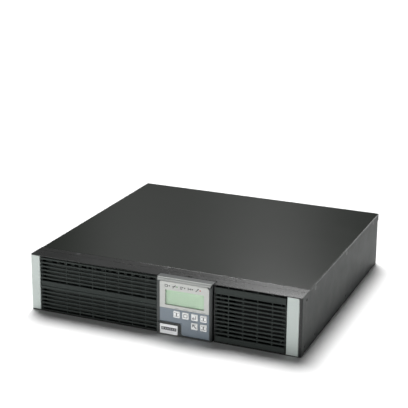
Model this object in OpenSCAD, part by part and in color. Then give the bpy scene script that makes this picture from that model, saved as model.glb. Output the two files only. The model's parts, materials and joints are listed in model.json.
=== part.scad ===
// Rack and tower uninterruptible power supply, two rack units high.
// Millimetres. The front faces -Y, +Z is up, and the origin is the middle of the base.
// The display module and the earth stud stand out as far as each other, so the
// sheet-metal case is centred on the origin.

/* [Case] */
// Width of the case over its cover
case_w = 428; // [426:1:430]
// Height of the case, two rack units
case_h = 88; // [88:0.5:88.5]
// Depth of the case without what stands out at the front and back
case_d = 405; // [400:1:420]
// How far the display module and the earth stud stand out
proud = 6; // [6:0.5:7]
// Thickness of the base, frame and rear sheet
sheet = 1.2; // [1:0.1:1.2]
// Thickness of the top cover
cover_t = 1; // [0.9:0.1:1]
// Height of the cover's side flanges
flange_h = 12; // [11:0.5:13]
// Depth of the plastic bezel at its sides
bezel_d = 12.3; // [12:0.1:12.4]
// Depth of the top wall of the bezel
bezel_top_d = 21.6; // [21.3:0.1:21.9]
// Depth from the bezel's face to the top cover's front edge
cover_setback = 34.5; // [34:0.5:36]

/* [Grilles] */
// Distance from one louvre to the next
louvre_pitch = 6.06; // [6:0.01:6.1]
// Height of the gap between two louvres
louvre_gap = 3.1; // [2:0.1:3.4]
// Thickness of a grille from front to back
grille_t = 2.8; // [2.4:0.1:3]
// Distance from one upright rib to the next
rib_pitch = 21.7; // [21:0.1:22]
// Width of an upright rib
rib_w = 1.4; // [1:0.1:2.6]
// Louvre gaps in the upper group of the battery door, with the one under the lip
door_upper_gaps = 7; // [7:1:7]
// Louvre gaps in the lower group of the battery door
door_lower_gaps = 6; // [6:1:6]
// Louvre gaps in the right grille
grille_gaps = 11; // [11:1:11]

/* [Display module] */
// Width of the display module
module_w = 86; // [85:0.5:86]
// Left edge of the display module
module_x = -3.6; // [-3.6:0.1:-3.4]
// Side of a square key
key_side = 10; // [9:0.5:10]
// Distance from one key to the next
key_pitch = 13.9; // [13.5:0.1:14]
// How far a key travels
key_travel = 0.8; // [0.5:0.1:0.9]
// Width of the liquid-crystal window
lcd_w = 60.3; // [56:0.1:61]
// Height of the liquid-crystal window
lcd_h = 23; // [20:0.5:24]

/* [Batteries] */
// Length of a sealed battery
battery_l = 151; // [148:1:151]
// Thickness of a sealed battery
battery_w = 65; // [60:1:65]
// Height of a sealed battery without its tabs
battery_h = 94; // [90:1:94]
// Room for a battery's tabs
tab_room = 6.5; // [6.5:0.1:7]
// Number of batteries
battery_count = 3; // [3:1:3]

/* [Fan] */
// Side of the fan's square frame
fan_side = 80; // [80:1:80]
// Thickness of the fan
fan_t = 25; // [20:1:25]
// Distance between the fan's screws
fan_screw_pitch = 71.5; // [71.5:0.1:71.5]
// Number of blades
fan_blades = 7; // [5:1:9]

/* [Mounting holes] */
// Radius of the threaded holes in the sides
side_hole_r = 1.65; // [1.6:0.05:1.7]
// Distance between the two rail holes
rail_pitch = 157; // [150:1:160]
// Distance between the two rack-ear holes
ear_pitch = 70; // [66:1:70]

/* [Hidden] */

$fn = 48;
hair = 0.01;
x_out = case_w / 2;
x_wall = x_out - cover_t;
x_in = x_wall - sheet;
y_face = -case_d / 2;
y_back = case_d / 2;
y_frame = y_face + bezel_d + 0.2;
y_cover = y_face + cover_setback;
y_lip = y_face + bezel_top_d + 0.5;
z_top = case_h;
z_under = case_h - cover_t;
z_strip = z_under - 1;

bay_x0 = -197.5;
bay_x1 = -7;
divider_x = -4.6;
bay_end_y = 150;
tray_x0 = -194;
tray_x1 = -10;
tray_z = 3;
tray_y0 = y_frame + 4;
battery_step = battery_h + tab_room;
tray_y1 = tray_y0 + battery_count * battery_step + 4;

door_x0 = -197.9;
door_x1 = -5.6;
door_gap_z0 = 86.6;
door_low_z0 = 34.7;
groove_z = 41.3;
grille_x0 = 85.5;
grille_x1 = 190.3;
grille_gap_z0 = 72.4;
grille_rib_x0 = 105.4;
grille_top = 84.1;
pillar_x1 = -198.4;
right_x0 = 191.9;
right_x1 = 209.9;

module_x1 = module_x + module_w;
module_face = y_face - proud;
module_back = y_face + 10.1;
key_x0 = 28.6;
key_z = [34.6, 20.9];
lcd_x0 = 10.5;
lcd_z0 = 47.4;
light_x0 = 17.2;
light_pitch = 11.9;
light_z = 76.6;

screw_side_y = [-143.5, 12.7, 169];
screw_side_z = 82;
screw_top_x = [-148.7, -3.8, 141.1];
screw_top_y = y_cover - 5;
rail_y = 19 - rail_pitch;
ear_y = -183;
low_hole_z = 9;

fan_x = 150;
fan_z = 44;
fan_r = 38;
inlet_x = -40;
inlet_z = 60;
breaker_z = 26;
bank_x = -137;
bank_z = [26, 62];
outlet_pitch = 32;
outlets_per_bank = 4;
slot_x = 52;
slot_z = 60;
port_z = 24;
serial_x = 50;
usb_x = 18;
contact_x = 86;
stud_x = -12;
stud_z = 13;

board_x = [8, 206];
board_y = [-62, 164];
board_z = 9;
board_t = 1.6;
standoff_x = [14, 107, 200];
standoff_y = [-56, 51, 158];

black = [0.09, 0.10, 0.10];
charcoal = [0.20, 0.22, 0.22];
steel = [0.55, 0.57, 0.58];
silver = [0.74, 0.76, 0.75];
pale = [0.82, 0.82, 0.81];
slate = [0.42, 0.47, 0.53];
green_pcb = [0.08, 0.30, 0.16];
copper = [0.72, 0.40, 0.22];
brass_c = [0.80, 0.65, 0.32];

// A block from its low to its high corner
module block(lo, hi) {
    translate(lo) cube(hi - lo);
}

// A cylinder along X, Y or Z
module rod_x(p, r, l) {
    translate(p) rotate([0, 90, 0]) cylinder(r = r, h = l);
}
module rod_y(p, r, l) {
    translate(p) rotate([-90, 0, 0]) cylinder(r = r, h = l);
}
module rod_z(p, r, l) {
    translate(p) cylinder(r = r, h = l);
}

// A shape drawn in X and Z, pushed back along +Y from y by t
module plate_xz(y, t) {
    translate([0, y + t, 0]) rotate([90, 0, 0]) linear_extrude(height = t) children();
}

// A shape drawn in Y and Z, pushed along +X from x by l
module prism_yz(x, l) {
    translate([x, 0, 0]) rotate([90, 0, 90]) linear_extrude(height = l) children();
}

// A rectangle with true round corners
module round_rect(lo, hi, r) {
    difference() {
        translate(lo) square(hi - lo);
        for (sx = [0, 1], sz = [0, 1]) {
            c = [sx == 0 ? lo[0] : hi[0], sz == 0 ? lo[1] : hi[1]];
            d = [sx == 0 ? r : -r, sz == 0 ? r : -r];
            difference() {
                translate([min(c[0], c[0] + d[0]) - (sx == 0 ? 1 : 0),
                    min(c[1], c[1] + d[1]) - (sz == 0 ? 1 : 0)]) square(r + 1);
                translate(c + d) circle(r = r);
            }
        }
    }
}

// Straight round wire through a list of points, with ball corners
module wire(points, r) {
    for (i = [0 : len(points) - 2]) {
        d = points[i + 1] - points[i];
        l = norm(d);
        translate(points[i])
            rotate([0, acos(d[2] / l), atan2(d[1], d[0])])
                cylinder(r = r, h = l, $fn = 24);
    }
    for (i = [1 : len(points) - 2])
        translate(points[i]) sphere(r = r, $fn = 24);
}

// A countersunk screw whose head is flush at the origin, driven along -Z
module flush_screw(head_r, shank_r, head_h, l) {
    difference() {
        union() {
            translate([0, 0, -head_h]) cylinder(r1 = shank_r, r2 = head_r, h = head_h);
            translate([0, 0, -l]) cylinder(r = shank_r, h = l - head_h / 2);
        }
        for (a = [0, 90]) rotate(a)
            translate([-head_r * 0.55, -0.35, -head_h * 0.6]) cube([head_r * 1.1, 0.7, head_h]);
    }
}

// The hole that such a screw goes in
module flush_hole(head_r, shank_r, head_h, l) {
    c = 0.05;
    translate([0, 0, -head_h]) cylinder(r1 = shank_r + c, r2 = head_r + c, h = head_h + hair);
    translate([0, 0, -l]) cylinder(r = shank_r + c, h = l);
}

// What turns a screw from +Z to the outside of the side s
module to_side(s, y, z) {
    translate([s * x_out, y, z]) rotate([0, s * 90, 0]) children();
}

// One louvre: a bar along X with its front edges taken off
module louvre(x0, x1, z0, z1) {
    e = 0.5;
    f = y_face + 0.2;
    prism_yz(x0, x1 - x0) polygon([
        [f + grille_t, z0], [f + e, z0], [f, z0 + e],
        [f, z1 - e], [f + e, z1], [f + grille_t, z1]
    ]);
}

// An upright rib between louvres, behind their faces
module rib(x, z0, z1, behind = 1) {
    f = y_face + 0.2;
    block([x - rib_w / 2, f + behind, z0], [x + rib_w / 2, f + grille_t, z1]);
}

module chassis_base() {
    color(charcoal) difference() {
        union() {
            block([-x_wall, y_frame + 1, 0], [x_wall, y_back, sheet]);
            for (s = [-1, 1]) {
                xa = min(s * x_in, s * x_wall);
                block([xa, y_frame + 1, 0], [xa + sheet, y_back, z_under]);
                xb = min(s * x_in, s * (x_in - 8));
                block([xb, y_cover + 8, z_under - sheet], [xb + 8, y_back - 4, z_under]);
                block([xb, y_back - 2 * sheet, 0], [xb + 8, y_back - sheet, z_under]);
                for (y = [rail_y, rail_y + rail_pitch])
                    rod_x([s > 0 ? x_in - 3 : -x_in, y, low_hole_z], 3.6, 3);
                for (z = [low_hole_z, low_hole_z + ear_pitch])
                    rod_x([s > 0 ? x_in - 3 : -x_in, ear_y, z], 3.6, 3);
            }
        }
        for (s = [-1, 1]) {
            for (y = screw_side_y)
                to_side(s, y, screw_side_z) flush_hole(2.9, 1.5, cover_t, 8);
            for (y = [rail_y, rail_y + rail_pitch])
                rod_x([s > 0 ? x_in - 5 : -x_out, y, low_hole_z], side_hole_r, 8);
            for (z = [low_hole_z, low_hole_z + ear_pitch])
                rod_x([s > 0 ? x_in - 5 : -x_out, ear_y, z], side_hole_r, 8);
            for (z = [14, 74])
                rod_y([s * 208, y_back - 5, z], 1.55, 6);
        }
        for (x = standoff_x, y = standoff_y) rod_z([x, y, -1], 2, 3);
    }
}

module front_frame() {
    flange_y = y_face + 25.5;
    color(charcoal) difference() {
        union() {
            block([-x_in, y_frame, 0], [x_in, y_frame + 1, z_under]);
            block([-x_in, y_frame, z_strip], [x_in, y_lip + 1, z_under]);
            block([-x_in, y_lip, z_strip], [x_in, y_lip + 1, z_top]);
            block([-x_out, y_lip, z_under], [x_out, y_cover - 0.5, z_top]);
            for (s = [-1, 1]) {
                xa = min(s * x_wall, s * x_out);
                block([xa, y_frame, 14], [xa + cover_t, flange_y, z_under]);
                block([xa, y_lip, z_top - flange_h], [xa + cover_t, y_cover - 0.5, z_top]);
            }
        }
        block([bay_x0, y_frame - 1, 2.6], [bay_x1, y_frame + 2, 82]);
        block([2.4, y_frame - 1, 6.4], [76.6, y_frame + 2, 81.6]);
        plate_xz(y_frame - 1, 3) round_rect([95, 7], [181, 81], 3);
        for (x = screw_top_x)
            translate([x, screw_top_y, z_top]) flush_hole(2.9, 1.5, 1, 8);
        for (s = [-1, 1])
            rod_x([s > 0 ? x_wall - 1 : -x_out - 1, ear_y, low_hole_z + ear_pitch],
                side_hole_r + 0.6, 3);
    }
}

module rear_panel() {
    color(charcoal) difference() {
        block([-x_in + 0.2, y_back - sheet, sheet + 0.1], [x_in - 0.2, y_back, z_under - 0.1]);
        rod_y([fan_x, y_back - 3, fan_z], fan_r, 5);
        for (sx = [-1, 1], sz = [-1, 1])
            rod_y([fan_x + sx * fan_screw_pitch / 2, y_back - 3, fan_z + sz * fan_screw_pitch / 2],
                2.2, 5);
        for (z = bank_z)
            block([bank_x - 65, y_back - 3, z - 12.5], [bank_x + 65, y_back + 1, z + 12.5]);
        block([inlet_x - 14.5, y_back - 3, inlet_z - 10.5],
            [inlet_x + 14.5, y_back + 1, inlet_z + 10.5]);
        for (s = [-1, 1]) rod_y([inlet_x + s * 20, y_back - 3, inlet_z], 1.6, 5);
        rod_y([inlet_x, y_back - 3, breaker_z], 6.1, 5);
        block([slot_x - 39, y_back - 3, slot_z - 13], [slot_x + 39, y_back + 1, slot_z + 13]);
        for (s = [-1, 1]) rod_y([slot_x + s * 44, y_back - 3, slot_z], 1.55, 5);
        block([usb_x - 6.3, y_back - 3, port_z - 5.8], [usb_x + 6.3, y_back + 1, port_z + 5.8]);
        block([serial_x - 9.2, y_back - 3, port_z - 5], [serial_x + 9.2, y_back + 1, port_z + 5]);
        for (s = [-1, 1]) rod_y([serial_x + s * 12.5, y_back - 3, port_z], 1.6, 5);
        block([contact_x - 9, y_back - 3, port_z - 5], [contact_x + 9, y_back + 1, port_z + 5]);
        rod_y([stud_x, y_back - 3, stud_z], 2.1, 5);
        for (s = [-1, 1], z = [14, 74]) rod_y([s * 208, y_back - 3, z], 1.55, 5);
    }
}

module top_cover() {
    e = 0.8;
    color([0.27, 0.28, 0.27]) difference() {
        union() {
            translate([0, y_back, 0]) rotate([90, 0, 0]) linear_extrude(height = y_back - y_cover)
                polygon([
                    [-x_out, z_top - flange_h], [-x_out, z_top - e], [-x_out + e, z_top],
                    [x_out - e, z_top], [x_out, z_top - e], [x_out, z_top - flange_h],
                    [x_wall, z_top - flange_h], [x_wall, z_under], [-x_wall, z_under],
                    [-x_wall, z_top - flange_h]
                ]);
            block([-200, y_cover - 9, z_strip], [200, y_cover + 2, z_under]);
        }
        for (s = [-1, 1], y = screw_side_y)
            to_side(s, y, screw_side_z) flush_hole(2.9, 1.5, cover_t, 8);
        for (x = screw_top_x)
            translate([x, screw_top_y, z_top]) flush_hole(2.9, 1.5, 1, 8);
    }
}

module bay_divider() {
    zt = z_top - 5.5;
    color(steel) union() {
        block([divider_x, y_frame + 1.1, sheet], [divider_x + sheet, bay_end_y + sheet, zt]);
        block([-x_in + 0.1, bay_end_y, sheet], [divider_x, bay_end_y + sheet, zt]);
        block([divider_x, y_frame + 1.1, sheet], [divider_x + 9, bay_end_y, 2 * sheet]);
    }
}

// The bezel seen from above, with round front corners
module bezel_plan(y1) {
    r = 3;
    difference() {
        translate([-x_out, y_face]) square([case_w, y1 - y_face]);
        for (s = [-1, 1]) difference() {
            translate([s > 0 ? x_out - r : -x_out - 1, y_face - 1]) square(r + 1);
            translate([s * (x_out - r), y_face + r]) circle(r = r);
        }
    }
}

// A hollow post of the bezel, open at the back
module bezel_post(x0, x1) {
    difference() {
        block([x0, y_face + 3, 1.6], [x1, y_face + bezel_d, z_under]);
        block([x0 + 1.5, y_face + 4.5, 3.1], [x1 - 1.5, y_frame + 1, z_under - 1.5]);
    }
}

module front_bezel() {
    wall = 1.6;
    x_end = x_out - wall;
    color(charcoal) difference() {
        union() {
            translate([0, 0, z_under]) linear_extrude(height = cover_t)
                bezel_plan(y_face + bezel_top_d);
            linear_extrude(height = wall) bezel_plan(y_face + bezel_d);
            linear_extrude(height = z_top) difference() {
                bezel_plan(y_face + bezel_d);
                translate([-x_end, y_face - 1]) square([2 * x_end - 2.2, bezel_d + 2]);
                translate([-x_out - 1, y_face - 1]) square([10, 4]);
            }
            bezel_post(-x_end, bay_x0 - 0.8);
            bezel_post(190.8, x_end);
            block([-5.3, y_face + 0.5, 0], [-4.2, y_face + bezel_d, z_top]);
            block([84.2, y_face + 0.5, 0], [85.2, y_face + bezel_d, z_top]);
        }
        block([-4.2, y_face - 1, -1], [84.2, y_face + 10.5, z_top + 1]);
        block([36, y_face + 12, z_under - 1], [45, y_face + 13.4, z_top + 1]);
        block([-x_out - 1, y_face - 1, 0.7], [pillar_x1 + 0.1, y_face + 3, z_under]);
        block([right_x0 - 0.2, y_face - 1, 0.7], [right_x1 + 0.2, y_face + 3, z_under]);
    }
}

module left_pillar() {
    r = 2.6;
    color(silver) difference() {
        translate([0, 0, 0.8]) linear_extrude(height = z_under - 1) difference() {
            translate([-x_out, y_face]) square([pillar_x1 + x_out, 2.8]);
            difference() {
                translate([-x_out - 1, y_face - 1]) square(r + 1);
                translate([-x_out + r, y_face + r]) circle(r = r);
            }
            translate([pillar_x1, y_face]) rotate(45) square(1, center = true);
        }
        pillar_foot(y_face);
    }
}

// What is taken off the front lower edge of a pillar with its face at y
module pillar_foot(y) {
    prism_yz(-x_out - 1, case_w + 2) polygon([[y - 1, -1], [y - 1, 3], [y + 2.4, -0.4]]);
}

module right_pillar() {
    e = 0.9;
    y0 = y_face - 0.4;
    color(silver) difference() {
        translate([0, 0, 0.8]) linear_extrude(height = z_under - 1)
            polygon([
                [right_x0, y_face + 2.8], [right_x0, y0 + e], [right_x0 + e, y0],
                [right_x1 - e, y0], [right_x1, y0 + e], [right_x1, y_face + 2.8]
            ]);
        pillar_foot(y0);
        // Round upper outer corner
        difference() {
            block([right_x1 - 2, y0 - 1, z_under - 2.2], [right_x1 + 1, y_face + 4, z_under + 1]);
            rod_y([right_x1 - 2, y0 - 2, z_under - 2.2], 2, 8);
        }
    }
}

module right_grille() {
    h = louvre_pitch - louvre_gap;
    last = grille_gap_z0 - (grille_gaps - 1) * louvre_pitch;
    color(charcoal) union() {
        louvre(grille_x0, grille_x1, grille_gap_z0 + louvre_gap / 2, grille_top);
        for (i = [0 : grille_gaps - 2]) {
            z = grille_gap_z0 - louvre_gap / 2 - i * louvre_pitch;
            louvre(grille_x0, grille_x1, z - h, z);
        }
        louvre(grille_x0, grille_x1, 1.8, last - louvre_gap / 2);
        for (i = [0 : 3]) rib(grille_rib_x0 + i * rib_pitch, 1.8, z_under);
        rib(grille_x0 + rib_w / 2, 1.8, grille_top, 1.8);
        rib(grille_x1 - rib_w / 2, 1.8, grille_top, 1.8);
        for (x = [92, 182], z = [16, 66])
            block([x, y_face + 2.9, z], [x + 2, y_frame - 0.1, z + 6]);
    }
}

module battery_rails() {
    color(black) for (x = [-190, -24])
        block([x, y_frame + 3, sheet], [x + 10, tray_y1 - 4, tray_z - 0.3]);
}

module battery_door() {
    h = louvre_pitch - louvre_gap;
    band_top = door_gap_z0 - (door_upper_gaps - 1) * louvre_pitch - louvre_gap / 2;
    low_end = door_low_z0 - (door_lower_gaps - 1) * louvre_pitch;
    g = louvre_gap / 2;
    color(charcoal) difference() {
        union() {
            for (i = [0 : door_upper_gaps - 2]) {
                z = door_gap_z0 - g - i * louvre_pitch;
                louvre(door_x0, door_x1, z - h, z);
            }
            louvre(door_x0, door_x1, groove_z + 0.6, band_top);
            louvre(door_x0, door_x1, door_low_z0 + g, groove_z - 0.6);
            block([door_x0, y_face + 1.2, door_low_z0 + g + 1],
                [door_x1, y_face + 3, band_top - 1]);
            for (i = [0 : door_lower_gaps - 2]) {
                z = door_low_z0 - g - i * louvre_pitch;
                louvre(door_x0, door_x1, z - h, z);
            }
            block([door_x0, y_face + 0.6, 1.9], [door_x1, y_face + 3, low_end - g]);
            for (i = [0 : 6]) rib(-153.6 + i * rib_pitch, 1.9, z_under - 0.35);
            rib(-196, 1.9, z_under - 0.35, 1.8);
            rib(door_x1 - rib_w / 2, 1.9, z_under - 2, 1.8);
            for (x = [-196.9, -8.2], z = [16, 60])
                difference() {
                    block([x, y_face + 2.9, z], [x + 1.6, y_frame - 0.6, z + 8]);
                    block([x - 1, y_face + 6, z + 3], [x + 3, y_face + 9, z + 5]);
                }
        }
        translate([door_x0 + 1.4, y_face - 1, groove_z - 0.6]) cube([9, 2.4, 4.4]);
    }
}

module battery_tray() {
    t = sheet;
    color(steel) difference() {
        union() {
            block([tray_x0, tray_y0, tray_z], [tray_x1, tray_y1, tray_z + t]);
            for (x = [tray_x0, tray_x1 - t])
                block([x, tray_y0, tray_z], [x + t, tray_y1, 66]);
            block([tray_x0 - 2.5, tray_y0 - t, tray_z], [tray_x1 + 2, tray_y0, 81]);
            block([tray_x0, tray_y1 - t, tray_z], [tray_x1, tray_y1, 50]);
        }
        for (i = [0 : 13])
            plate_xz(tray_y0 - 3, 6) round_rect([-186 + i * 12.5, 72], [-178 + i * 12.5, 77], 2.4);
        for (x = [-124, -84]) rod_y([x, tray_y0 - 3, 40], 1.6, 6);
        block([-34, tray_y1 - 3, 22], [-14, tray_y1 + 1, 42]);
        for (s = [0 : 2], x = [tray_x0 - 1, tray_x1 - 3])
            prism_yz(x, 4)
                round_rect([tray_y0 + 20 + s * battery_step, 18],
                    [tray_y0 + 80 + s * battery_step, 50], 8);
    }
}

module tray_handle() {
    y = tray_y0 - sheet;
    color(black) difference() {
        union() {
            for (x = [-124, -84]) block([x - 5, y - 1.6, 33], [x + 5, y, 47]);
            prism_yz(-119, 30) polygon([[y - 9, 34], [y - 7, 34], [y - 7, 46], [y - 9, 46]]);
            for (x = [-120.5, -89])
                block([x, y - 9, 34], [x + 1.5, y, 46]);
        }
        for (x = [-124, -84]) rod_y([x, y - 4, 40], 1.6, 6);
    }
    for (x = [-124, -84]) color(silver) rod_y([x, y - 3, 40], 3, 1.4);
}

// One sealed battery lying on its side, with its tabs towards the back
module battery(i) {
    y0 = tray_y0 + 1.5 + i * battery_step;
    x0 = tray_x0 + sheet + 0.2;
    z0 = tray_z + sheet;
    color([0.16, 0.17, 0.19]) difference() {
        block([x0, y0, z0], [x0 + battery_l, y0 + battery_h, z0 + battery_w]);
        plate_xz(y0 + battery_h - 1.2, 3)
            round_rect([x0 + 20, z0 + 14], [x0 + battery_l - 20, z0 + battery_w - 14], 5);
        for (y = [y0 + 6, y0 + battery_h - 8])
            block([x0 - 1, y, z0 + battery_w - 0.6], [x0 + battery_l + 1, y + 2, z0 + battery_w + 1]);
    }
}

function battery_tab(i, side) = [
    tray_x0 + sheet + 0.2 + (side == 0 ? 12 : battery_l - 12),
    tray_y0 + 1.5 + i * battery_step + battery_h,
    tray_z + sheet + battery_w / 2
];

module battery_tabs() {
    color(brass_c) for (i = [0 : battery_count - 1], s = [0, 1]) {
        p = battery_tab(i, s);
        block(p - [0.4, 0, 3.2], p + [0.4, 4.6, 3.2]);
    }
}

module hold_down_straps() {
    z = tray_z + sheet + battery_w;
    x1 = tray_x0 + sheet + 0.4 + battery_l;
    color(steel) for (y = [tray_y0 + 46, tray_y0 + 46 + 2 * battery_step]) union() {
        block([tray_x0, y, z], [x1 + sheet, y + 14, z + sheet]);
        block([x1, y, tray_z + sheet], [x1 + sheet, y + 14, z + sheet]);
        block([x1, y, tray_z + sheet], [x1 + 10, y + 14, tray_z + 2 * sheet]);
    }
}

module battery_leads() {
    r = 1.5;
    ch = tray_x1 - 16;
    color([0.55, 0.08, 0.07]) {
        a = battery_tab(0, 1) + [2, 3, 0];
        b = battery_tab(1, 1) + [2, 3, 0];
        wire([a, [ch, a[1], a[2]], [ch, b[1], b[2]], b], r);
    }
    color([0.05, 0.05, 0.05]) {
        c = battery_tab(1, 0) + [2, 3, 0];
        d = battery_tab(2, 0) + [2, 3, 0];
        wire([c, [c[0], c[1], c[2] + 9], [ch + 5, c[1], c[2] + 9], [ch + 5, d[1], d[2] + 9],
            [d[0], d[1], d[2] + 9], d], r);
    }
    color([0.55, 0.08, 0.07]) {
        e = battery_tab(2, 1) + [2, 3, 0];
        wire([e, [ch, e[1], e[2]], [ch, e[1], 32], [ch, tray_y1 - 3.5, 32]], r);
    }
}

module tray_plug() {
    color([0.45, 0.46, 0.48]) difference() {
        block([-33.5, tray_y1 - 3, 22.5], [-14.5, tray_y1 + 9, 41.5]);
        for (z = [26, 38]) rod_y([-24, tray_y1 + 3, z], 2.6, 8);
    }
}

module bay_socket() {
    y0 = tray_y1 + 9.4;
    color([0.45, 0.46, 0.48]) difference() {
        block([-38, y0, 18], [-10, bay_end_y, 46]);
        block([-34, y0 - 1, 22], [-14, y0 + 6, 42]);
    }
}

module display_housing() {
    e = 1.2;
    face = y_face - 4.7;
    zb = 0.6;
    zt = 87.6;
    color(black) difference() {
        union() {
            translate([0, 0, zb]) linear_extrude(height = zt - zb) polygon([
                [module_x, module_back], [module_x, face + e], [module_x + e, face],
                [module_x1 - 1.9, face], [module_x1, face + 1.9], [module_x1, module_back]
            ]);
            block([4, module_back - 1, 8], [75, module_back + 20, 80]);
        }
        // Seats of the two plates and of the trim
        plate_xz(face - 1, 2.6) lcd_outline(0.15);
        plate_xz(face - 1, 2.6) keypad_outline(0.15);
        block([module_x - 1, face - 1, 83], [module_x1 + 1, face + 2.2, zt + 1]);
        // Room for the boards
        block([5.5, face + 1.5, 9.5], [73.5, module_back + 22, 78.5]);
        block([15, face + 1.5, 12], [77, face + 9, 41]);
        // Finger hold over the name plate and the groove beside it
        block([-1, face - 1, 17.5], [33, face + 0.9, 19.9]);
        block([32.2, face - 1, 7.5], [35.5, face + 1, 19.9]);
    }
}

// Outline of the plate round the screen: the right top corner is rounder
module lcd_outline(g) {
    r = 5;
    difference() {
        translate([2.2 - g, 42.5 - g]) square([76.3 + 2 * g, 40.2 + 2 * g]);
        difference() {
            translate([78.5 + g - r, 82.7 + g - r]) square(r + 1);
            translate([78.5 + g - r, 82.7 + g - r]) circle(r = r);
        }
        difference() {
            translate([1.2 - g, 82.7 + g - 2]) square(3);
            translate([4.2 - g, 80.7 + g]) circle(r = 2);
        }
    }
}

// Outline of the keypad plate: cut away at the lower left for the name plate
module keypad_outline(g) {
    difference() {
        translate([2.2 - g, 2.8 - g]) square([76.6 + 2 * g, 39.2 + 2 * g]);
        difference() {
            translate([0, 0]) square([36 - g, 20.4 - g]);
            difference() {
                translate([33 - g, 17.4 - g]) square(4);
                translate([33 - g, 17.4 - g]) circle(r = 3);
            }
        }
        difference() {
            translate([35.9 - g, 0]) square([4.1, 6.8]);
            translate([40 - g, 6.8]) circle(r = 4);
            translate([40 - g, 2.8 - g]) square([4, 4]);
        }
    }
}

module display_trim() {
    e = 1.6;
    color(silver) difference() {
        prism_yz(module_x + 2.1, module_w - 2.7) polygon([
            [module_face + 3.3, 83.1], [module_face + 0.5, 83.1], [module_face, 83.6],
            [module_face, z_top - e], [module_face + e, z_top], [module_face + 3.3, z_top]
        ]);
        translate([module_x1 - 0.6, module_face - 1, 88]) rotate([0, 22, 0])
            translate([0, 0, -12]) cube([6, 6, 16]);
    }
}

module lcd_plate() {
    face = module_face + 0.3;
    color(pale) difference() {
        plate_xz(face, 2.6) lcd_outline(0);
        plate_xz(face - 1, 5) round_rect([lcd_x0, lcd_z0], [lcd_x0 + lcd_w, lcd_z0 + lcd_h], 0.8);
        for (i = [0 : 4]) rod_y([light_x0 + i * light_pitch, face - 1, light_z], 1.05, 5);
    }
}

module lcd_glass() {
    g = 0.15;
    face = module_face + 1.7;
    color([0.75, 0.85, 0.75, 0.5]) plate_xz(face, 1.1)
        round_rect([lcd_x0 + g, lcd_z0 + g], [lcd_x0 + lcd_w - g, lcd_z0 + lcd_h - g], 0.65);
}

module lcd_panel() {
    color([0.64, 0.77, 0.62])
        block([8, module_face + 3.4, 45], [73, module_face + 7, 73]);
}

function key_place(k) = k < 4
    ? [key_x0 + k * key_pitch, key_z[0]]
    : [key_x0 + (k - 2) * key_pitch, key_z[1]];

module keypad_plate() {
    face = module_face + 0.7;
    c = 0.3;
    color(slate) difference() {
        plate_xz(face, 2.2) keypad_outline(0);
        for (k = [0 : 5]) {
            p = key_place(k);
            h = key_side / 2 + c;
            plate_xz(face - 1, 5) round_rect(p - [h, h], p + [h, h], 0.9);
        }
        // Chamfers facing down at the foot and over the name plate
        prism_yz(37, 44) polygon([[face - 0.2, 2.6], [face - 0.2, 4.8], [face + 1.8, 2.6]]);
        prism_yz(1, 35.3) polygon([[face - 0.2, 20.2], [face - 0.2, 22.4], [face + 1.8, 20.2]]);
    }
}

// One key: a cap with its edges taken off, on a wider foot behind the plate
module key(k) {
    p = key_place(k);
    h = key_side / 2;
    face = module_face;
    color([0.90, 0.91, 0.91]) union() {
        plate_xz(face, 0.5) round_rect(p - [h - 0.5, h - 0.5], p + [h - 0.5, h - 0.5], 0.6);
        plate_xz(face + 0.4, 3) round_rect(p - [h, h], p + [h, h], 0.8);
        plate_xz(face + 3.3, 0.8) round_rect(p - [h + 1, h + 1], p + [h + 1, h + 1], 0.8);
    }
}

module name_plate() {
    face = y_face - 4.7;
    color([0.85, 0.86, 0.86]) difference() {
        plate_xz(face - 0.7, 0.7) round_rect([2.3, 2.3], [30, 16.9], 1);
        block([3.6, face - 1, 7.2], [28.7, face - 0.5, 13.4]);
    }
}

module status_lights() {
    color([0.35, 0.45, 0.38]) for (i = [0 : 4])
        rod_y([light_x0 + i * light_pitch, module_face + 0.4, light_z], 1, 2.4);
}

module display_board() {
    color(green_pcb) union() {
        block([7, module_face + 12, 11], [72, module_face + 13.6, 77]);
        block([30, module_face + 13.6, 20], [50, module_face + 19, 26]);
    }
}

module display_back() {
    color(black) difference() {
        block([5.7, module_back + 17.6, 9.7], [73.3, module_back + 19.6, 78.3]);
        block([27, module_back + 16, 18], [53, module_back + 21, 28]);
    }
}

module key_mat() {
    y = module_face + 4.1 + key_travel + 0.3;
    color([0.35, 0.36, 0.38]) block([21, y, 14.5], [75.8, y + 2, 40.6]);
}

module main_board() {
    color(green_pcb) difference() {
        block([board_x[0], board_y[0], board_z], [board_x[1], board_y[1], board_z + board_t]);
        for (x = standoff_x, y = standoff_y) rod_z([x, y, board_z - 1], 1.6, 4);
    }
}

module board_standoffs() {
    color(steel) for (x = standoff_x, y = standoff_y) union() {
        rod_z([x, y, 0.1], 1.95, 2);
        rod_z([x, y, sheet], 3, board_z - sheet);
        rod_z([x, y, board_z - 0.5], 1.5, 3);
        rod_z([x, y, board_z + board_t], 2.8, 1.6);
    }
}

// An extruded heat sink with upright fins, seen from its end
module heat_sink(x) {
    z0 = board_z + board_t;
    translate([x, -40, z0]) union() {
        cube([4, 150, 58]);
        for (i = [0 : 6]) translate([4, 0, 2 + i * 8.6]) cube([20, 150, 1.8]);
    }
}

module heat_sinks() {
    color([0.62, 0.64, 0.66]) for (x = [34, 96]) heat_sink(x);
}

module power_transistors() {
    z0 = board_z + board_t;
    color(black) for (x = [34, 96], i = [0 : 5]) union() {
        translate([x - 5, -34 + i * 24, z0 + 6]) cube([5, 15.6, 20]);
        for (j = [0 : 2])
            translate([x - 3.2, -34 + i * 24 + 2 + j * 5, z0]) cube([1, 1.2, 6.5]);
    }
}

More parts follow.
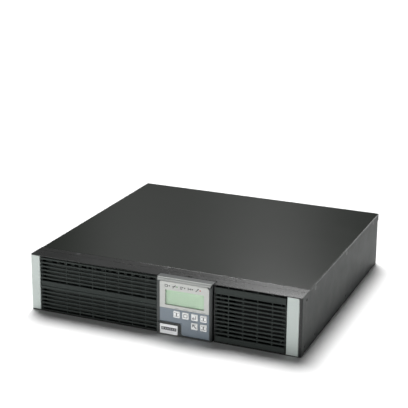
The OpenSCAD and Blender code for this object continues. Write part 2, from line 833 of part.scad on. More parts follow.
module bulk_capacitors() {
    z0 = board_z + board_t;
    color([0.10, 0.12, 0.20]) for (x = [140, 166, 192], i = [0, 1])
        difference() {
            rod_z([x, -30 + i * 30, z0], 11, 42);
            for (a = [0, 90]) translate([x, -30 + i * 30, z0 + 42]) rotate(a)
                cube([12, 0.8, 0.8], center = true);
        }
}

module relays() {
    z0 = board_z + board_t;
    color([0.10, 0.10, 0.11]) for (x = [131, 155, 179])
        block([x, 30, z0], [x + 15.5, 59, z0 + 25]);
}

module transformer_core() {
    color([0.33, 0.33, 0.34]) difference() {
        block([106, -176, sheet], [198, -98, 78]);
        for (x = [121, 160]) block([x, -180, 18], [x + 23, -90, 62]);
        for (x = [112, 192], z = [8, 72]) rod_y([x, -180, z], 2, 90);
    }
}

module transformer_coil() {
    difference() {
        color(copper) block([122, -184, 18.5], [182, -90, 61.5]);
        block([143.9, -200, 0], [160.1, -80, 90]);
    }
    color([0.85, 0.80, 0.55]) for (y = [-184, -97]) difference() {
        block([122, y, 18.5], [182, y + 7, 61.5]);
        block([121, y - 1, 30], [143.8, y + 8, 50]);
        block([160.2, y - 1, 30], [183, y + 8, 50]);
    }
}

module filter_choke() {
    color(copper) translate([150, 105, board_z + board_t + 17]) rotate([0, 90, 0])
        rotate_extrude() translate([11, 0]) circle(r = 5);
    color(black) block([146, 90, board_z + board_t], [154, 120, board_z + board_t + 1.5]);
}

module ribbon_cable() {
    y0 = module_back + 22;
    color([0.55, 0.57, 0.60]) prism_yz(31, 18) polygon([
        [y0, 19], [y0 + 8, 19], [y0 + 8, 4], [-50, 4], [-50, 8.6], [-51, 8.6], [-51, 5],
        [y0 + 9, 5], [y0 + 9, 20], [y0, 20]
    ]);
}

module fan_frame() {
    y1 = y_back - sheet;
    s = fan_side / 2;
    color(black) difference() {
        translate([fan_x, 0, fan_z]) plate_xz(y1 - fan_t, fan_t) round_rect([-s, -s], [s, s], 4);
        difference() {
            rod_y([fan_x, y1 - fan_t - 1, fan_z], fan_r, fan_t + 2);
            rod_y([fan_x, y1 - fan_t, fan_z], 16, 3);
            for (a = [45, 135]) translate([fan_x, y1 - fan_t, fan_z]) rotate([0, a, 0])
                translate([-40, 0, -2]) cube([80, 2.4, 4]);
        }
        for (sx = [-1, 1], sz = [-1, 1])
            rod_y([fan_x + sx * fan_screw_pitch / 2, y1 - fan_t - 1,
                fan_z + sz * fan_screw_pitch / 2], 2.2, fan_t + 2);
    }
}

module fan_rotor() {
    y0 = y_back - sheet - fan_t + 3.6;
    color([0.14, 0.14, 0.15]) union() {
        rod_y([fan_x, y0, fan_z], 17, 18.5);
        intersection() {
            for (i = [0 : fan_blades - 1])
                translate([fan_x, y0 + 9, fan_z]) rotate([0, i * 360 / fan_blades, 0])
                    rotate([38, 0, 0])
                        translate([14, -0.8, -11]) cube([26, 1.6, 22]);
            rod_y([fan_x, y0 + 0.5, fan_z], fan_r - 0.9, 17.5);
        }
    }
}

module fan_guard() {
    w = 0.9;
    y = y_back + 1.2 + w;
    hub = 8;
    reach = fan_screw_pitch / sqrt(2) - 3.6;
    color(silver) {
        for (r = [9, 18, 27, 36]) translate([fan_x, y, fan_z]) rotate([90, 0, 0])
            rotate_extrude() translate([r, 0]) circle(r = w);
        for (a = [45, 135, 225, 315]) translate([fan_x, 0, fan_z]) rotate([0, a, 0]) union() {
            rod_x([hub, y + 2 * w + 0.02, 0], w, reach - hub);
            translate([reach + 3.6, y_back, 0]) rotate([-90, 0, 0]) difference() {
                cylinder(r = 4.4, h = 4.2);
                translate([0, 0, -1]) cylinder(r = 2.3, h = 7);
            }
        }
    }
}

// The opening of a mains connector: a rectangle with two corners cut off
module mains_outline(w, h, c) {
    polygon([
        [-w / 2, -h / 2], [w / 2, -h / 2], [w / 2, h / 2 - c],
        [w / 2 - c, h / 2], [-w / 2 + c, h / 2], [-w / 2, h / 2 - c]
    ]);
}

module inlet_socket() {
    depth = 16;
    color(black) difference() {
        union() {
            translate([inlet_x, 0, inlet_z]) plate_xz(y_back, 2.2)
                round_rect([-25, -12], [25, 12], 4);
            block([inlet_x - 14, y_back - 20, inlet_z - 10], [inlet_x + 14, y_back + 1, inlet_z + 10]);
        }
        translate([inlet_x, 0, inlet_z]) plate_xz(y_back + 2.2 - depth, depth + 1)
            mains_outline(24.6, 17, 4);
        for (s = [-1, 1]) rod_y([inlet_x + s * 20, y_back - 1, inlet_z], 1.6, 5);
    }
}

module inlet_pins() {
    y0 = y_back + 2.2 - 16;
    color(brass_c) for (p = [[-7, -2], [7, -2], [0, 2]])
        block([inlet_x + p[0] - 1, y0, inlet_z + p[1] - 2],
            [inlet_x + p[0] + 1, y0 + 13, inlet_z + p[1] + 2]);
}

module outlet_banks() {
    first = bank_x - outlet_pitch * (outlets_per_bank - 1) / 2;
    color(black) for (z = bank_z) difference() {
        union() {
            translate([bank_x, 0, z]) plate_xz(y_back, 1.6) round_rect([-67.5, -14], [67.5, 14], 2);
            block([bank_x - 64.5, y_back - 26, z - 12], [bank_x + 64.5, y_back + 0.5, z + 12]);
        }
        for (i = [0 : outlets_per_bank - 1]) translate([first + i * outlet_pitch, 0, z]) {
            difference() {
                plate_xz(y_back - 14, 18) mains_outline(27.6, 20.4, 5);
                plate_xz(y_back - 15, 15.6) mains_outline(23.6, 16.2, 4);
            }
            for (p = [[-7, -2], [7, -2], [0, 2]])
                block([p[0] - 1.2, y_back - 12, p[1] - 2.3], [p[0] + 1.2, y_back + 2, p[1] + 2.3]);
        }
    }
}

module breaker_body() {
    color(black) difference() {
        union() {
            block([inlet_x - 8, y_back - 34, breaker_z - 14],
                [inlet_x + 8, y_back - sheet - 0.1, breaker_z + 14]);
            rod_y([inlet_x, y_back - sheet - 0.2, breaker_z], 5.9, sheet + 4.2);
            translate([inlet_x, y_back + 2.2, breaker_z]) rotate([90, 0, 0])
                cylinder(r = 8.4, h = 2.2, $fn = 6);
        }
        rod_y([inlet_x, y_back - 10, breaker_z], 3.9, 20);
    }
}

module breaker_button() {
    color([0.75, 0.75, 0.74]) union() {
        rod_y([inlet_x, y_back - 8, breaker_z], 3.85, 12.6);
        rod_y([inlet_x, y_back + 4.5, breaker_z], 3.3, 0.6);
    }
}

module data_ports() {
    // Square bus port
    color(silver) difference() {
        block([usb_x - 6, y_back - 16, port_z - 5.5], [usb_x + 6, y_back + 0.6, port_z + 5.5]);
        block([usb_x - 4.2, y_back - 9, port_z - 3.9], [usb_x + 4.2, y_back + 2, port_z + 3.9]);
    }
    color([0.9, 0.9, 0.9]) block([usb_x - 2.8, y_back - 9, port_z - 1.6],
        [usb_x + 2.8, y_back - 0.6, port_z + 1.6]);
    // Nine-way serial port with its two jack posts
    color(silver) difference() {
        union() {
            block([serial_x - 15.4, y_back, port_z - 6.2], [serial_x + 15.4, y_back + 1, port_z + 6.2]);
            block([serial_x - 8.9, y_back - 12, port_z - 4.7], [serial_x + 8.9, y_back + 5, port_z + 4.7]);
        }
        for (i = [0 : 4]) rod_y([serial_x - 5.5 + i * 2.75, y_back, port_z + 1.4], 0.6, 6);
        for (i = [0 : 3]) rod_y([serial_x - 4.1 + i * 2.75, y_back, port_z - 1.4], 0.6, 6);
        for (s = [-1, 1]) rod_y([serial_x + s * 12.5, y_back - 1, port_z], 1.6, 4);
    }
    for (s = [-1, 1]) color(steel) difference() {
        translate([serial_x + s * 12.5, y_back + 5, port_z]) rotate([90, 0, 0])
            cylinder(r = 2.7, h = 4, $fn = 6);
        rod_y([serial_x + s * 12.5, y_back + 1.5, port_z], 1.3, 5);
    }
    // Two-way plug-in contact block
    color([0.10, 0.35, 0.22]) difference() {
        block([contact_x - 8.6, y_back - 14, port_z - 4.6], [contact_x + 8.6, y_back + 2, port_z + 4.6]);
        for (i = [-1 : 1]) {
            rod_y([contact_x + i * 5.1, y_back - 4, port_z + 1.6], 1.4, 8);
            block([contact_x + i * 5.1 - 1.3, y_back - 3, port_z - 3.6],
                [contact_x + i * 5.1 + 1.3, y_back + 3, port_z - 1.2]);
        }
    }
}

module slot_cover() {
    color(steel) difference() {
        union() {
            plate_xz(y_back, 1.2) round_rect([slot_x - 47, slot_z - 15], [slot_x + 47, slot_z + 15], 1.5);
            block([slot_x - 38, y_back - 3, slot_z - 12], [slot_x + 38, y_back + 0.5, slot_z - 11]);
            block([slot_x - 38, y_back - 3, slot_z + 11], [slot_x + 38, y_back + 0.5, slot_z + 12]);
        }
        for (s = [-1, 1]) rod_y([slot_x + s * 44, y_back - 1, slot_z], 1.6, 4);
    }
}

module earth_stud() {
    color(brass_c) union() {
        rod_y([stud_x, y_back - 8, stud_z], 2, 8 + proud);
        translate([stud_x, y_back + 3.4, stud_z]) rotate([90, 0, 0]) cylinder(r = 4, h = 2.4, $fn = 6);
        rod_y([stud_x, y_back, stud_z], 4.5, 1.1);
        translate([stud_x, y_back - sheet, stud_z]) rotate([90, 0, 0]) cylinder(r = 4, h = 3, $fn = 6);
    }
}

// A dome-headed screw at the origin, standing along +Y
module dome_screw(l) {
    difference() {
        union() {
            rotate([-90, 0, 0]) cylinder(r1 = 2.9, r2 = 2.1, h = 1.7);
            rotate([90, 0, 0]) cylinder(r = 1.5, h = l);
        }
        for (a = [0, 90]) rotate([0, a, 0]) translate([-1.6, 0.7, -0.35]) cube([3.2, 2, 0.7]);
    }
}

module case_screws() {
    color(silver) {
        for (s = [-1, 1], y = screw_side_y)
            to_side(s, y, screw_side_z) flush_screw(2.9, 1.5, 1, 6);
        for (x = screw_top_x)
            translate([x, screw_top_y, z_top]) flush_screw(2.9, 1.5, 1, 5);
        for (s = [-1, 1], z = [14, 74]) translate([s * 208, y_back, z]) dome_screw(4);
        for (s = [-1, 1]) translate([slot_x + s * 44, y_back + 1.2, slot_z]) dome_screw(5);
        for (s = [-1, 1]) translate([inlet_x + s * 20, y_back + 2.2, inlet_z]) dome_screw(6);
        for (sx = [-1, 1], sz = [-1, 1])
            translate([fan_x + sx * fan_screw_pitch / 2, y_back + 4.2,
                fan_z + sz * fan_screw_pitch / 2]) dome_screw(12);
    }
}

chassis_base();
front_frame();
rear_panel();
top_cover();
bay_divider();
front_bezel();
left_pillar();
right_pillar();
right_grille();
battery_rails();
battery_door();
battery_tray();
tray_handle();
battery(0);  // battery_1
battery(1);  // battery_2
battery(2);  // battery_3
battery_tabs();
hold_down_straps();
battery_leads();
tray_plug();
bay_socket();
display_housing();
display_trim();
lcd_plate();
lcd_glass();
lcd_panel();
keypad_plate();
name_plate();
status_lights();
display_board();
display_back();
key_mat();
key(0);  // key_1
key(1);  // key_2
key(2);  // key_3
key(3);  // key_4
key(4);  // key_5
key(5);  // key_6
main_board();
board_standoffs();
heat_sinks();
power_transistors();
bulk_capacitors();
relays();
transformer_core();
transformer_coil();
filter_choke();
ribbon_cable();
fan_frame();
fan_rotor();
fan_guard();
inlet_socket();
inlet_pins();
outlet_banks();
breaker_body();
breaker_button();
data_ports();
slot_cover();
earth_stud();
case_screws();
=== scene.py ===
# The looks of a two-unit uninterruptible power supply: studio, materials, rounded edges, printed marks
import json
import math

import bmesh
import bpy
from mathutils import Matrix, Vector

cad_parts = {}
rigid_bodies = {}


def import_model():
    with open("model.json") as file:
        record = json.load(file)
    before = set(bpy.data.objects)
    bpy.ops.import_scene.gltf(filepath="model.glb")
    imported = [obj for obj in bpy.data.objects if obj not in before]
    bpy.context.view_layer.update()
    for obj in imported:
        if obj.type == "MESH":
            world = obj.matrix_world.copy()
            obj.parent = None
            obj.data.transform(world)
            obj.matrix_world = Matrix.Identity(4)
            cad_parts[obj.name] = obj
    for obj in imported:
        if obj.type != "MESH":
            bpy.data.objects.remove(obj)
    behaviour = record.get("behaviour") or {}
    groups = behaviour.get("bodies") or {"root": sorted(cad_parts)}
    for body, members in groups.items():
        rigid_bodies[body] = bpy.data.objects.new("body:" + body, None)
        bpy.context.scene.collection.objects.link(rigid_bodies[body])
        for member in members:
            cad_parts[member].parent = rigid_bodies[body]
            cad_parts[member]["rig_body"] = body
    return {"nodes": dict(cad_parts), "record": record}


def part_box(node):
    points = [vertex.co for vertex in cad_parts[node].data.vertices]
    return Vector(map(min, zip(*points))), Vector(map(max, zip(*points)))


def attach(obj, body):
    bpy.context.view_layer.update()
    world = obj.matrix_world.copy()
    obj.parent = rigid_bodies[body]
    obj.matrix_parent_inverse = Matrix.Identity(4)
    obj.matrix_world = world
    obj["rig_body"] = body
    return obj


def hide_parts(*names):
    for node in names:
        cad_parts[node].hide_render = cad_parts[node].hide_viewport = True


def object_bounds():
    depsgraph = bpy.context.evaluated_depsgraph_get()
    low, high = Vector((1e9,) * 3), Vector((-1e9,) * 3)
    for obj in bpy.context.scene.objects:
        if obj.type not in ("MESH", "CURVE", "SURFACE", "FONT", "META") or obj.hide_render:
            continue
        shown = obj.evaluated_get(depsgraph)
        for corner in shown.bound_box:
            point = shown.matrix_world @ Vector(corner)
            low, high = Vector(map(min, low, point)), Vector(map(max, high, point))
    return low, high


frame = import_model()
cad_low, cad_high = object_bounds()

MM = 0.001
scene = bpy.context.scene


# ---------------------------------------------------------------- camera and studio

CAMERA_AT = Vector((0.6560, -1.6041, 0.6913))
CAMERA_AIM = Vector((-0.0186, 0.0, 0.2150))
CAMERA_LENS = 101.96
CAMERA_ROLL = math.radians(0.49)
CAMERA_SHIFT = -0.1225


def make_camera():
    """The camera that looks at the front and the right side from above."""
    data = bpy.data.cameras.new("camera")
    data.lens = CAMERA_LENS
    data.sensor_width = 36
    data.shift_y = CAMERA_SHIFT
    data.clip_start = 0.05
    data.clip_end = 60
    camera = bpy.data.objects.new("camera", data)
    scene.collection.objects.link(camera)
    turn = (CAMERA_AIM - CAMERA_AT).to_track_quat("-Z", "Y").to_matrix()
    camera.matrix_world = Matrix.Translation(CAMERA_AT) @ (
        turn @ Matrix.Rotation(CAMERA_ROLL, 3, "Z")
    ).to_4x4()
    scene.camera = camera


def add_node(tree, kind, **settings):
    """A new node of that kind in the node tree, with its settings made."""
    node = tree.nodes.new(kind)
    for key, value in settings.items():
        setattr(node, key, value)
    return node


def add_area(name, place, aim, width, height, power):
    """A rectangular card of light at place that faces aim, in metres and watts."""
    data = bpy.data.lights.new(name, "AREA")
    data.shape = "RECTANGLE"
    data.size = width
    data.size_y = height
    data.energy = power
    lamp = bpy.data.objects.new(name, data)
    scene.collection.objects.link(lamp)
    lamp.location = place
    lamp.rotation_euler = (Vector(aim) - Vector(place)).to_track_quat("-Z", "Y").to_euler()
    lamp.visible_camera = False


def add_sun(name, azimuth, elevation, softness, strength):
    """A sun whose light comes from azimuth (0 is the front, -Y) and elevation, in degrees."""
    data = bpy.data.lights.new(name, "SUN")
    data.energy = strength
    data.angle = math.radians(softness)
    lamp = bpy.data.objects.new(name, data)
    scene.collection.objects.link(lamp)
    a, e = math.radians(azimuth), math.radians(elevation)
    source = Vector((math.sin(a) * math.cos(e), -math.cos(a) * math.cos(e), math.sin(e)))
    lamp.rotation_euler = (-source).to_track_quat("-Z", "Y").to_euler()


# Brightness of the studio's back wall by azimuth, in degrees to the left of straight back
WALL_GLOW = [
    (6.0, 0.01), (14.0, 0.07), (16.0, 0.17), (17.6, 0.36), (19.3, 0.46), (21.5, 0.36), (23.8, 0.24),
    (27.2, 0.36), (29.2, 0.14), (30.8, 0.02), (40.0, 0.01),
]
# How much of that glow shows at a low and at a higher place, as the sine of the elevation
WALL_RISE = ((0.285, 0.40), (0.36, 1.0))
DOME_LEVEL = 0.04
# Half of the floor's side, in metres
FLOOR_REACH = 14.0


def make_world():
    """A dim dome with softly glowing upright panels behind the object."""
    world = bpy.data.worlds.new("studio")
    world.use_nodes = True
    tree = world.node_tree
    background = tree.nodes["Background"]
    scene.world = world

    direction = add_node(tree, "ShaderNodeTexCoord").outputs["Generated"]
    parts = add_node(tree, "ShaderNodeSeparateXYZ")
    tree.links.new(direction, parts.inputs[0])
    left = add_node(tree, "ShaderNodeMath", operation="MULTIPLY")
    left.inputs[1].default_value = -1
    tree.links.new(parts.outputs["X"], left.inputs[0])
    azimuth = add_node(tree, "ShaderNodeMath", operation="ARCTAN2")
    tree.links.new(left.outputs[0], azimuth.inputs[0])
    tree.links.new(parts.outputs["Y"], azimuth.inputs[1])

    first, last = WALL_GLOW[0][0], WALL_GLOW[-1][0]
    place = add_node(tree, "ShaderNodeMapRange")
    place.inputs["From Min"].default_value = math.radians(first)
    place.inputs["From Max"].default_value = math.radians(last)
    tree.links.new(azimuth.outputs[0], place.inputs["Value"])
    ramp = add_node(tree, "ShaderNodeValToRGB")
    ramp.color_ramp.interpolation = "B_SPLINE"
    stops = ramp.color_ramp.elements
    while len(stops) > 1:
        stops.remove(stops[-1])
    for i, (angle, level) in enumerate(WALL_GLOW):
        where = (angle - first) / (last - first)
        if i:
            stop = stops.new(where)
        else:
            stop = stops[0]
            stop.position = where
        stop.color = (level, level, level, 1)
    tree.links.new(place.outputs[0], ramp.inputs[0])

    (low_sine, low_share), (high_sine, high_share) = WALL_RISE
    rise = add_node(tree, "ShaderNodeMapRange")
    rise.inputs["From Min"].default_value = low_sine
    rise.inputs["From Max"].default_value = high_sine
    rise.inputs["To Min"].default_value = low_share
    rise.inputs["To Max"].default_value = high_share
    tree.links.new(parts.outputs["Z"], rise.inputs["Value"])
    wall = add_node(tree, "ShaderNodeMix", data_type="RGBA")
    wall.inputs[6].default_value = (DOME_LEVEL, DOME_LEVEL, DOME_LEVEL, 1)
    tree.links.new(rise.outputs[0], wall.inputs[0])
    tree.links.new(ramp.outputs[0], wall.inputs[7])
    tree.links.new(wall.outputs[2], background.inputs["Color"])
    background.inputs["Strength"].default_value = 1.0


def make_studio():
    """The dome, the lights and a plain pale floor."""
    make_world()
    scene.view_settings.view_transform = "Standard"

    add_sun("overhead", azimuth=211, elevation=64.5, softness=29, strength=4.3)
    add_area("front_fill", (-1.0, -2.8, 0.30), (0, -0.2, 0.05), width=2.6, height=0.5, power=41)
    add_area("right_card", (1.25, 2.55, 0.34), (0.1, -0.1, 0.05), width=2.2, height=0.6, power=13)
    add_area("high_card", (-0.52, 2.26, 1.70), (0, -0.19, 0.09), width=0.6, height=0.72, power=9)

    corners = [(-1, -1), (1, -1), (1, 1), (-1, 1)]
    floor_mesh = bpy.data.meshes.new("floor")
    floor_mesh.from_pydata(
        [(x * FLOOR_REACH, y * FLOOR_REACH, 0) for x, y in corners], [], [(0, 1, 2, 3)])
    floor = bpy.data.objects.new("floor", floor_mesh)
    scene.collection.objects.link(floor)
    paper = bpy.data.materials.new("floor_paper")
    paper.use_nodes = True
    shader = paper.node_tree.nodes["Principled BSDF"]
    shader.inputs["Base Color"].default_value = (0.93, 0.93, 0.93, 1)
    shader.inputs["Roughness"].default_value = 0.7
    shader.inputs["Specular IOR Level"].default_value = 0.15
    floor_mesh.materials.append(paper)


# ---------------------------------------------------------------- materials

class Graph:
    """A material's node tree with short calls to add and join nodes."""

    def __init__(self, name):
        self.material = bpy.data.materials.new(name)
        self.material.use_nodes = True
        self.tree = self.material.node_tree
        self.shader = self.tree.nodes["Principled BSDF"]
        self.place = self.add("ShaderNodeTexCoord").outputs["Object"]

    def add(self, kind, **settings):
        return add_node(self.tree, kind, **settings)

    def join(self, source, target):
        self.tree.links.new(source, target)

    def stretched(self, scale):
        mapping = self.add("ShaderNodeMapping")
        mapping.inputs["Scale"].default_value = scale
        self.join(self.place, mapping.inputs["Vector"])
        return mapping.outputs["Vector"]

    def noise(self, scale, detail=3.0, vector=None, roughness=0.5):
        node = self.add("ShaderNodeTexNoise")
        node.inputs["Scale"].default_value = scale
        node.inputs["Detail"].default_value = detail
        node.inputs["Roughness"].default_value = roughness
        self.join(vector or self.place, node.inputs["Vector"])
        return node.outputs["Fac"]

    def spread(self, value, low, high, from_low=0.3, from_high=0.7):
        node = self.add("ShaderNodeMapRange")
        node.inputs["From Min"].default_value = from_low
        node.inputs["From Max"].default_value = from_high
        node.inputs["To Min"].default_value = low
        node.inputs["To Max"].default_value = high
        self.join(value, node.inputs["Value"])
        return node.outputs["Result"]

    def mix(self, share, low, high):
        """Colours low and high mixed by share. Each is a colour or a socket."""
        node = self.add("ShaderNodeMix", data_type="RGBA")
        self.join(share, node.inputs[0])
        for socket, value in ((node.inputs[6], low), (node.inputs[7], high)):
            if isinstance(value, tuple):
                socket.default_value = (*value, 1)
            else:
                self.join(value, socket)
        return node.outputs[2]

    def math(self, operation, a, b):
        node = self.add("ShaderNodeMath", operation=operation)
        for socket, value in ((node.inputs[0], a), (node.inputs[1], b)):
            if isinstance(value, (int, float)):
                socket.default_value = value
            else:
                self.join(value, socket)
        return node.outputs[0]

    def edge_mask(self, radius):
        """1 on edges about radius wide, 0 on flat faces."""
        bevel = self.add("ShaderNodeBevel", samples=4)
        bevel.inputs["Radius"].default_value = radius
        geometry = self.add("ShaderNodeNewGeometry")
        dot = self.add("ShaderNodeVectorMath", operation="DOT_PRODUCT")
        self.join(bevel.outputs["Normal"], dot.inputs[0])
        self.join(geometry.outputs["True Normal"], dot.inputs[1])
        return self.spread(dot.outputs["Value"], 1.0, 0.0, 0.75, 0.995)

    def bump(self, height, depth, below=None):
        node = self.add("ShaderNodeBump")
        node.inputs["Distance"].default_value = depth
        self.join(height, node.inputs["Height"])
        if below:
            self.join(below, node.inputs["Normal"])
        return node.outputs["Normal"]


# How wide a worn edge is, in metres, and how much lighter than the rest
WORN_WIDTH = 0.0006
WORN_LIGHTER = 3.2


def lighter(color, factor):
    """The colour times factor, with no channel over 1."""
    return tuple(min(1.0, c * factor) for c in color)


def moulded(name, color, rough, grain, depth, mottle, wear=0.0, specular=0.5, coat=0.0):
    """Moulded plastic or powder coat: fine grain, faint mottling, worn edges."""
    g = Graph(name)
    shader = g.shader.inputs
    broad = g.noise(9, 4)
    fine = g.noise(grain, 2)
    tone = g.mix(g.spread(broad, 0, 1), lighter(color, 1 - mottle), lighter(color, 1 + mottle))
    tone = g.mix(g.spread(fine, 0, 0.5), tone, lighter(color, 1 + 2 * mottle))
    if wear:
        patches = g.spread(g.noise(55, 5), 0, wear, 0.35, 0.75)
        rubbed = g.math("MULTIPLY", g.edge_mask(WORN_WIDTH), patches)
        tone = g.mix(rubbed, tone, lighter(color, WORN_LIGHTER))
    g.join(tone, shader["Base Color"])
    smudge = g.noise(28, 6, roughness=0.65)
    g.join(g.spread(smudge, rough * 0.93, rough * 1.10), shader["Roughness"])
    shader["Specular IOR Level"].default_value = specular
    shader["Coat Weight"].default_value = coat
    shader["Coat Roughness"].default_value = 0.15
    ripple = g.bump(g.noise(grain * 0.22, 2), depth * 2)
    g.join(g.bump(fine, depth, ripple), shader["Normal"])
    return g.material


def metal(name, color, rough, stretch, grain, depth, spangle=0.0):
    """Plated, brushed or cast metal. stretch draws the grain out along an axis, and spangle is how
    strongly the crystals of hot-dip zinc show."""
    g = Graph(name)
    shader = g.shader.inputs
    along = g.stretched(stretch)
    lines = g.noise(grain, 3, along)
    tone = g.mix(g.spread(lines, 0, 1), lighter(color, 0.86), lighter(color, 1.08))
    if spangle:
        cells = g.add("ShaderNodeTexVoronoi")
        cells.inputs["Scale"].default_value = 160
        g.join(g.place, cells.inputs["Vector"])
        tone = g.mix(g.spread(cells.outputs["Distance"], 0, spangle, 0.1, 0.9), tone, lighter(color, 0.7))
    g.join(tone, shader["Base Color"])
    shader["Metallic"].default_value = 1.0
    g.join(g.spread(g.noise(40, 5), rough - 0.06, rough + 0.08), shader["Roughness"])
    g.join(g.bump(lines, depth), shader["Normal"])
    return g.material


def silver_paint(name, base):
    """Silver metallic paint on plastic: tiny flakes under a satin lacquer."""
    g = Graph(name)
    shader = g.shader.inputs
    flakes = g.add("ShaderNodeTexVoronoi")
    flakes.inputs["Scale"].default_value = 2600
    g.join(g.place, flakes.inputs["Vector"])
    tone = g.mix(g.spread(g.noise(14, 4), 0, 1), lighter(base, 0.94), lighter(base, 1.05))
    tone = g.mix(g.spread(flakes.outputs["Distance"], 0, 0.35, 0.1, 0.7), tone, lighter(base, 1.3))
    g.join(tone, shader["Base Color"])
    shader["Metallic"].default_value = 0.2
    g.join(g.spread(g.noise(60, 5), 0.30, 0.40), shader["Roughness"])
    shader["Coat Weight"].default_value = 0.25
    shader["Coat Roughness"].default_value = 0.2
    g.join(g.bump(flakes.outputs["Distance"], 4e-6), shader["Normal"])
    return g.material


def circuit_board(name):
    """Green laminate with a faint pattern of copper runs under the mask."""
    g = Graph(name)
    shader = g.shader.inputs
    runs = g.add("ShaderNodeTexBrick")
    runs.inputs["Scale"].default_value = 130
    runs.inputs["Mortar Size"].default_value = 0.06
    runs.inputs["Color1"].default_value = (0.010, 0.085, 0.035, 1)
    runs.inputs["Color2"].default_value = (0.012, 0.100, 0.040, 1)
    runs.inputs["Mortar"].default_value = (0.030, 0.170, 0.060, 1)
    g.join(g.place, runs.inputs["Vector"])
    g.join(runs.outputs["Color"], shader["Base Color"])
    g.join(g.spread(g.noise(90, 3), 0.25, 0.38), shader["Roughness"])
    g.join(g.bump(runs.outputs["Fac"], 15e-6), shader["Normal"])
    return g.material


def clear_lens(name):
    """A clear window with a faint green cast, a little smudged."""
    g = Graph(name)
    shader = g.shader.inputs
    g.join(g.mix(g.spread(g.noise(20, 3), 0, 1), (0.80, 0.88, 0.80), (0.86, 0.93, 0.86)),
           shader["Base Color"])
    shader["Alpha"].default_value = 0.14
    g.join(g.spread(g.noise(75, 5), 0.06, 0.16), shader["Roughness"])
    return g.material


def screen_layer(name):
    """The pale green layer of the display, with its faint grid of cells."""
    g = Graph(name)
    shader = g.shader.inputs
    cells = g.add("ShaderNodeTexBrick", offset=0.0)
    cells.inputs["Scale"].default_value = 900
    cells.inputs["Mortar Size"].default_value = 0.09
    cells.inputs["Brick Width"].default_value = 0.5
    cells.inputs["Row Height"].default_value = 0.5
    cells.inputs["Color1"].default_value = (0.385, 0.570, 0.372, 1)
    cells.inputs["Color2"].default_value = (0.380, 0.563, 0.368, 1)
    cells.inputs["Mortar"].default_value = (0.400, 0.588, 0.388, 1)
    upright = g.add("ShaderNodeMapping")
    upright.inputs["Rotation"].default_value = (math.radians(90), 0, 0)
    g.join(g.place, upright.inputs["Vector"])
    g.join(upright.outputs["Vector"], cells.inputs["Vector"])
    tone = g.mix(g.spread(g.noise(16, 2), 0, 0.35), cells.outputs["Color"], (0.35, 0.54, 0.36))
    g.join(tone, shader["Base Color"])
    g.join(g.spread(g.noise(120, 3), 0.35, 0.5), shader["Roughness"])
    g.join(g.bump(g.noise(1500, 1), 3e-6), shader["Normal"])
    return g.material


# Plastics, paints and inks: colour, roughness, grain per metre, grain depth in metres and mottling. Some
# go on with wear on the edges, specular level and clear coat, which are otherwise 0, 0.5 and 0
MOULDED = {
    "case_paint": ((0.0230, 0.0280, 0.0250), 0.52, 1500, 6e-6, 0.05, 0.2, 0.28),
    "cover_paint": ((0.0152, 0.0176, 0.0150), 0.12, 1700, 1.2e-6, 0.04, 0.15),
    "housing_plastic": ((0.036, 0.041, 0.040), 0.40, 2000, 7e-6, 0.06, 0.2),
    "black_screw": ((0.030, 0.031, 0.032), 0.34, 1500, 4e-6, 0.08, 0.3),
    "frame_paint": ((0.0050, 0.0056, 0.0050), 0.27, 1500, 1.2e-6, 0.04, 0.15, 0.5),
    # The grilles take a copy of the bezel plastic, lighter in colour and less glossy. The lighter colour
    # is painted light that evens out the front, which the floor's shadow darkens lower down
    "grille_plastic": ((0.0290, 0.0350, 0.0325), 0.42, 2300, 6e-6, 0.05, 0.25, 0.12),
    "bezel_plastic": ((0.0055, 0.0062, 0.0058), 0.27, 2300, 1.2e-6, 0.04, 0.15, 0.5),
    "black_plastic": ((0.0120, 0.0125, 0.0130), 0.38, 2000, 9e-6, 0.10, 0.4),
    "pale_plastic": ((0.50, 0.51, 0.49), 0.36, 2300, 5e-6, 0.02),
    "keypad_plastic": ((0.178, 0.214, 0.250), 0.38, 2300, 6e-6, 0.04),
    "key_plastic": ((0.80, 0.81, 0.81), 0.34, 2300, 4e-6, 0.02),
    "label_plate": ((0.90, 0.91, 0.92), 0.24, 2600, 3e-6, 0.02),
    "lens_plastic": ((0.10, 0.16, 0.12), 0.18, 2600, 2e-6, 0.05, 0.0, 0.5, 0.6),
    "battery_plastic": ((0.028, 0.030, 0.034), 0.42, 1100, 16e-6, 0.12, 0.3),
    "taped_coil": ((0.0040, 0.0040, 0.0042), 0.65, 420, 40e-6, 0.2, 0.3, 0.15),
    "core_steel": ((0.0060, 0.0060, 0.0062), 0.62, 240, 40e-6, 0.2, 0.3, 0.15),
    "rubber_mat": ((0.09, 0.095, 0.10), 0.65, 900, 16e-6, 0.08),
    "wire_red": ((0.42, 0.025, 0.02), 0.42, 900, 8e-6, 0.06),
    "ribbon_grey": ((0.32, 0.34, 0.37), 0.5, 900, 8e-6, 0.06),
    "component_black": ((0.014, 0.014, 0.015), 0.45, 1300, 12e-6, 0.1),
    "capacitor_sleeve": ((0.018, 0.028, 0.065), 0.28, 1500, 4e-6, 0.06),
    "connector_grey": ((0.20, 0.21, 0.22), 0.42, 1300, 10e-6, 0.06),
    "print_ink": ((0.016, 0.017, 0.018), 0.5, 2300, 2e-6, 0.05),
    "print_faint": ((0.22, 0.23, 0.23), 0.5, 2300, 2e-6, 0.05),
    "print_bars": ((0.34, 0.35, 0.36), 0.5, 2300, 2e-6, 0.04),
    "print_key": ((0.060, 0.062, 0.066), 0.5, 2300, 2e-6, 0.05),
    "print_band": ((0.050, 0.053, 0.058), 0.5, 2300, 2e-6, 0.05),
    "lens_off": ((0.05, 0.06, 0.05), 0.2, 2300, 2e-6, 0.04, 0.0, 0.5, 0.5),
    "lens_green": ((0.05, 0.30, 0.06), 0.2, 2300, 2e-6, 0.04, 0.0, 0.5, 0.5),
    "lens_red": ((0.55, 0.07, 0.06), 0.2, 2300, 2e-6, 0.04, 0.0, 0.5, 0.5),
}

